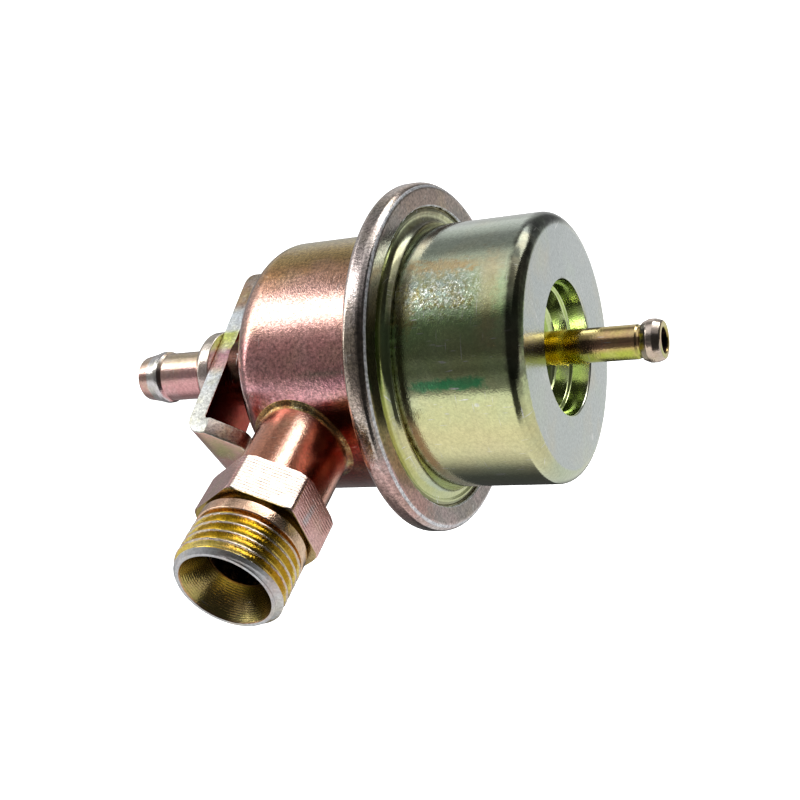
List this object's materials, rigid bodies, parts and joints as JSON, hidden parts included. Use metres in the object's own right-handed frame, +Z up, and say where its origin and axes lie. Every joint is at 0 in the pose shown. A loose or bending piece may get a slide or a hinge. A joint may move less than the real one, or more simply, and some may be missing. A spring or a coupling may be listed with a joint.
{
  "type": "fuel pressure regulator",
  "caption": "Diaphragm fuel pressure regulator: crimped can with a threaded side inlet, a beaded return tube with a locating bracket and a vacuum nipple.",
  "frame": {"origin": "on the inlet's axis, at the outer end of the inlet thread's cylinder", "axes": "+X along the can's axis towards the vacuum nipple; -Y out of the inlet; +Z up, square to both"},
  "size_m": [0.0895, 0.0734, 0.0526],
  "materials": {
    "plated_housing": "yellow-passivated zinc on drawn steel, pink to copper tint, half gloss",
    "plated_cover": "yellow-passivated zinc on drawn steel, silver-green tint, glossy",
    "plated_nipple": "yellow-passivated zinc, olive gold, glossy",
    "plated_fitting": "yellow-passivated zinc on turned steel, gold with worn silver edges",
    "braze": "braze metal under the plating, dull gold brown",
    "plated_return": "yellow-passivated zinc, pink tint, glossy",
    "plated_bracket": "yellow-passivated zinc on sheared sheet, gold and silver, rough edges",
    "diaphragm_rubber": "fabric coated with fuel-proof rubber, matt",
    "bare_steel": "plain turned or pressed steel",
    "bearing_steel": "polished ball with a ground flat",
    "spring_steel": "drawn spring wire, dark"
  },
  "bodies": {
    "housing": {"lower_housing": "plated_housing", "spring_cover": "plated_cover", "vacuum_nipple": "plated_nipple", "inlet_fitting": "plated_fitting", "inlet_braze_ring": "braze", "return_tube": "plated_return", "locating_bracket": "plated_bracket", "diaphragm": "diaphragm_rubber", "main_spring": "spring_steel"},
    "valve": {"spring_plate": "bare_steel", "valve_holder": "bare_steel", "valve_ball": "bearing_steel", "ball_retainer": "bare_steel"}
  },
  "joints": [
    {"name": "valve_lift", "type": "slide", "parent": "housing", "child": "valve", "axis": [1, 0, 0], "range_m": [0, 0.001], "stiffness_N_per_m": 2000, "deforming": ["main_spring", "diaphragm"]}
  ]
}
